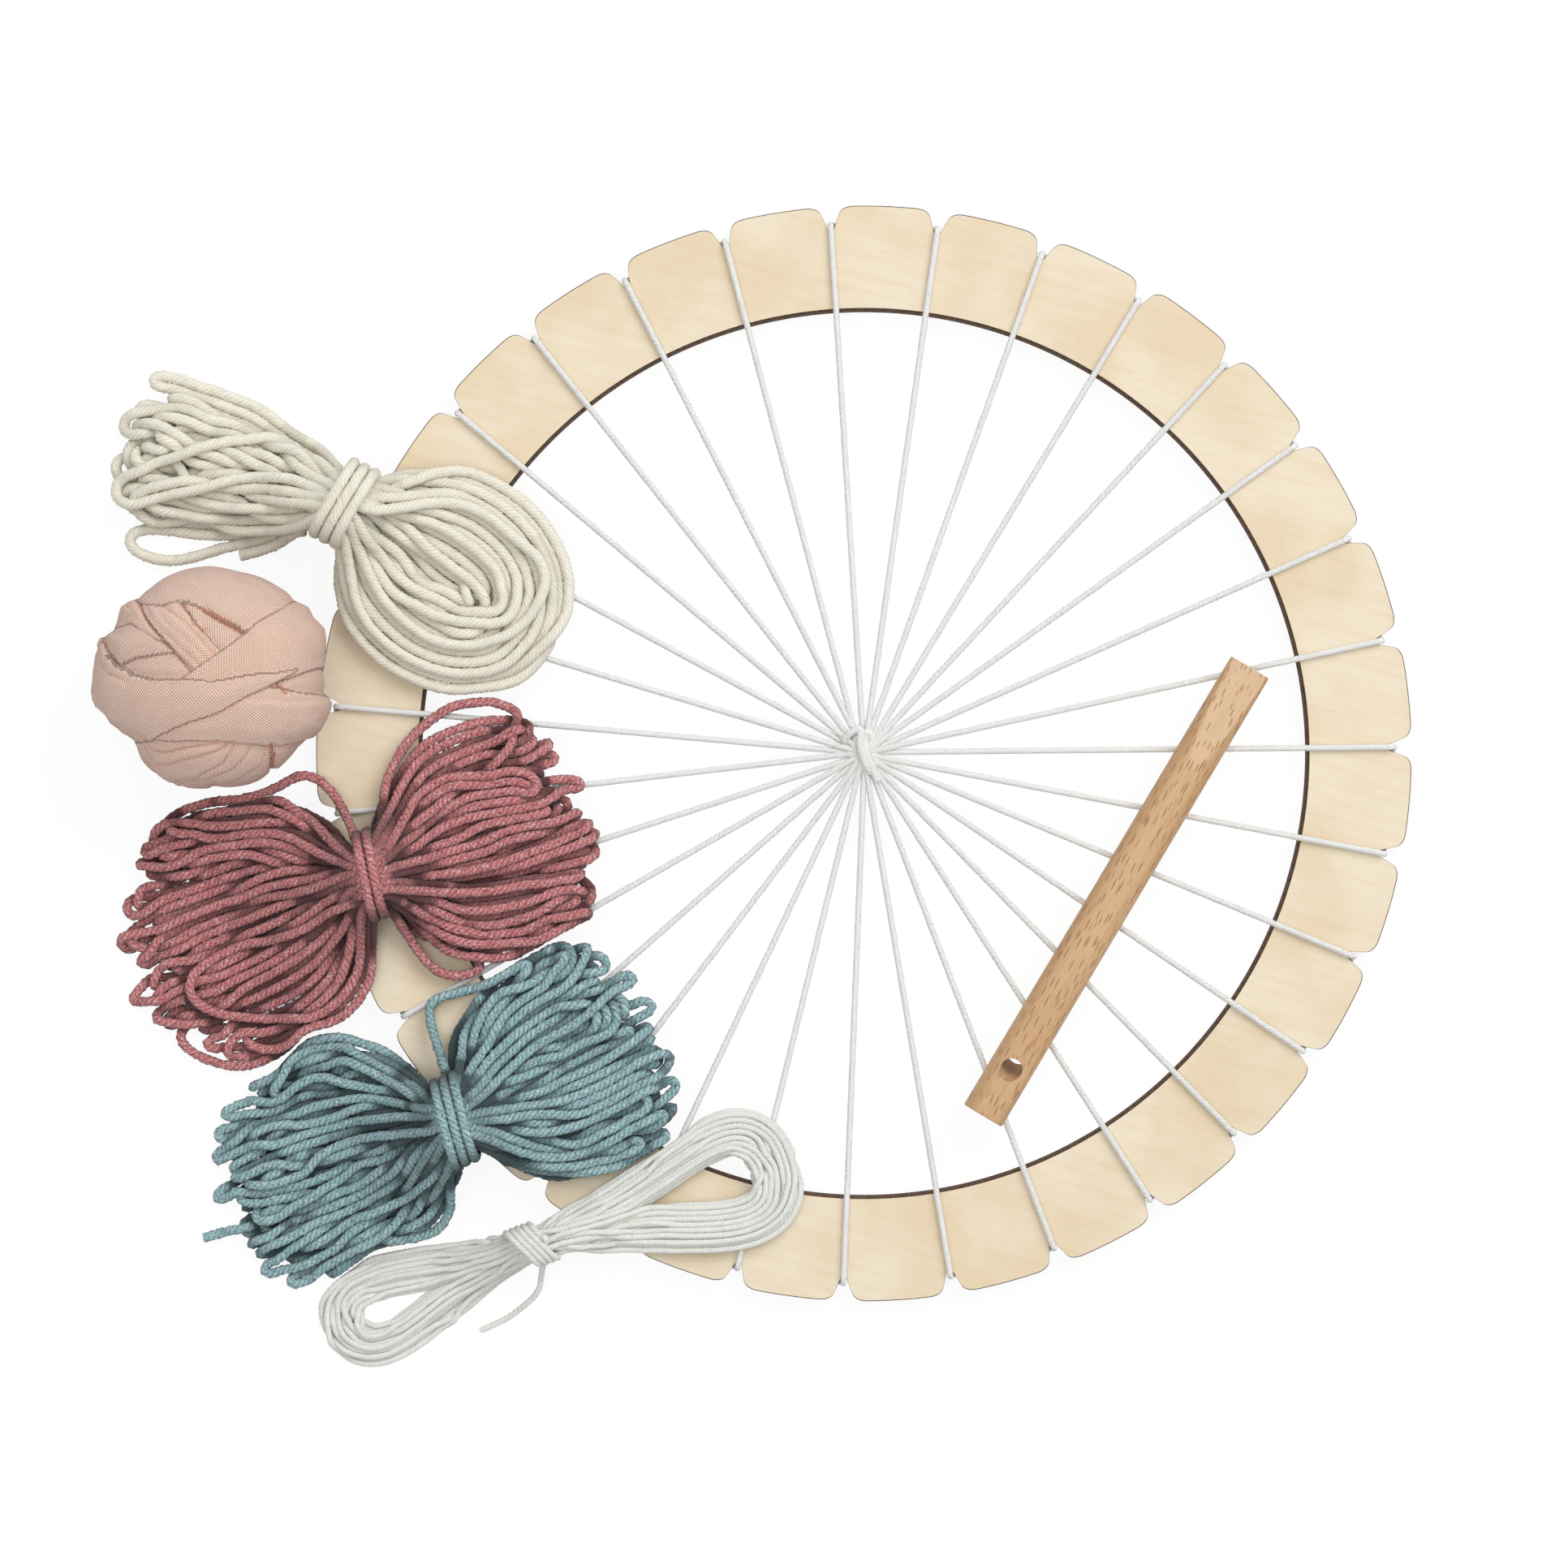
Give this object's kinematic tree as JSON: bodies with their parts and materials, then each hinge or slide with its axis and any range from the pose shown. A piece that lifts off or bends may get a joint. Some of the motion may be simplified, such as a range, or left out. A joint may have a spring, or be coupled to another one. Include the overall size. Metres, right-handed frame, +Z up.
{
  "type": "circular weaving loom",
  "caption": "Flat notched plywood ring strung with a radial warp, with a dowel needle, tied yarn and string hanks and a ball of knitted ribbon lying beside it.",
  "frame": {"origin": "middle of the base of the whole kit's box, on the table", "axes": "+Z up from the table, +X towards the needle's side of the ring, +Y towards the ring's side away from the string hank"},
  "size_m": [0.3572, 0.3142, 0.056],
  "materials": {
    "plywood": "bare birch plywood, laser-cut edges burnt dark",
    "warp_string": "matte twisted cotton string",
    "beech": "satin bare beech",
    "cream_yarn": "soft matte, twisted strand",
    "rose_yarn": "soft matte, twisted strand",
    "blue_yarn": "soft matte, twisted strand",
    "hank_string": "matte twisted cotton string",
    "ribbon": "fine knitted ribbon, slightly glossy"
  },
  "bodies": {
    "loom": {"loom_ring": "plywood", "warp_spoke_01": "warp_string", "warp_spoke_02": "warp_string", "warp_spoke_03": "warp_string", "warp_spoke_04": "warp_string", "warp_spoke_05": "warp_string", "warp_spoke_06": "warp_string", "warp_spoke_07": "warp_string", "warp_spoke_08": "warp_string", "warp_spoke_09": "warp_string", "warp_spoke_10": "warp_string", "warp_spoke_11": "warp_string", "warp_spoke_12": "warp_string", "warp_spoke_13": "warp_string", "warp_spoke_14": "warp_string", "warp_spoke_15": "warp_string", "warp_spoke_16": "warp_string", "warp_spoke_17": "warp_string", "warp_spoke_18": "warp_string", "warp_spoke_19": "warp_string", "warp_spoke_20": "warp_string", "warp_spoke_21": "warp_string", "warp_spoke_22": "warp_string", "warp_spoke_23": "warp_string", "warp_spoke_24": "warp_string", "warp_spoke_25": "warp_string", "warp_spoke_26": "warp_string", "warp_spoke_27": "warp_string", "warp_spoke_28": "warp_string", "warp_spoke_29": "warp_string", "warp_spoke_30": "warp_string", "warp_spoke_31": "warp_string", "warp_back_01": "warp_string", "warp_back_02": "warp_string", "warp_back_03": "warp_string", "warp_back_04": "warp_string", "warp_back_05": "warp_string", "warp_back_06": "warp_string", "warp_back_07": "warp_string", "warp_back_08": "warp_string", "warp_back_09": "warp_string", "warp_back_10": "warp_string", "warp_back_11": "warp_string", "warp_back_12": "warp_string", "warp_back_13": "warp_string", "warp_back_14": "warp_string", "warp_back_15": "warp_string", "warp_tail": "warp_string", "centre_knot": "warp_string"},
    "needle": {"needle": "beech"},
    "cream_hank": {"cream_hank": "cream_yarn", "cream_tie": "cream_yarn"},
    "rose_hank": {"rose_hank": "rose_yarn", "rose_tie": "rose_yarn"},
    "blue_hank": {"blue_hank": "blue_yarn", "blue_tie": "blue_yarn"},
    "string_hank": {"string_hank": "hank_string", "string_tie": "hank_string"},
    "ribbon_ball": {"ribbon_ball": "ribbon"}
  },
  "joints": [
    {"name": "needle_stroke", "type": "slide", "parent": "loom", "child": "needle", "axis": [0.512, 0.859, 0], "range_m": [-0.04, 0.04]},
    {"name": "cream_hank_lift", "type": "slide", "parent": "loom", "child": "cream_hank", "axis": [0, 0, 1], "range_m": [0, 0.06]},
    {"name": "rose_hank_lift", "type": "slide", "parent": "loom", "child": "rose_hank", "axis": [0, 0, 1], "range_m": [0, 0.06]},
    {"name": "blue_hank_lift", "type": "slide", "parent": "loom", "child": "blue_hank", "axis": [0, 0, 1], "range_m": [0, 0.06]},
    {"name": "string_hank_lift", "type": "slide", "parent": "loom", "child": "string_hank", "axis": [0, 0, 1], "range_m": [0, 0.06]},
    {"name": "ribbon_ball_lift", "type": "slide", "parent": "loom", "child": "ribbon_ball", "axis": [0, 0, 1], "range_m": [0, 0.06]}
  ]
}
